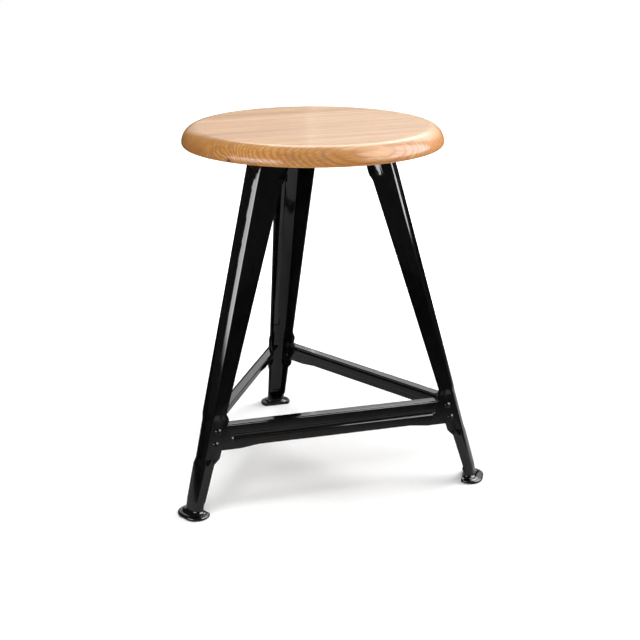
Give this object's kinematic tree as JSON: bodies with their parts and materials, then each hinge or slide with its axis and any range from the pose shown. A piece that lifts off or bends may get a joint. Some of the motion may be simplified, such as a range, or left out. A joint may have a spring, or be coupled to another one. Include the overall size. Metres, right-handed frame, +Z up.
{
  "type": "machinist stool",
  "caption": "Low workshop stool: round solid oak seat on splayed pressed-steel channel legs, tied near the floor by riveted stretchers; each leg ends in a flared beaded foot.",
  "frame": {"origin": "at floor level, at the bottom centre of the stool's bounding box; the seat's vertical axis stands 36.6 mm in front of it, at y = -0.0366", "axes": "+Z up; +Y towards the rear leg; +X to the stool's right as seen from the front stretcher"},
  "size_m": [0.4448, 0.4282, 0.5],
  "materials": {
    "wood": "clear matt lacquer on oak",
    "black_paint": "gloss black",
    "plated_steel": "zinc plated"
  },
  "bodies": {
    "root": {"seat_stave_1": "wood", "seat_stave_2": "wood", "seat_stave_3": "wood", "seat_stave_4": "wood", "left_leg": "black_paint", "right_leg": "black_paint", "rear_leg": "black_paint", "front_stretcher": "black_paint", "right_stretcher": "black_paint", "left_stretcher": "black_paint", "rivets_front_left": "black_paint", "rivets_front_right": "black_paint", "rivets_right_front": "black_paint", "rivets_right_rear": "black_paint", "rivets_left_rear": "black_paint", "rivets_left_front": "black_paint", "seat_plate": "black_paint", "left_leg_top_rivets": "black_paint", "right_leg_top_rivets": "black_paint", "rear_leg_top_rivets": "black_paint", "seat_screws": "plated_steel", "seat_washers": "plated_steel"}
  },
  "joints": []
}
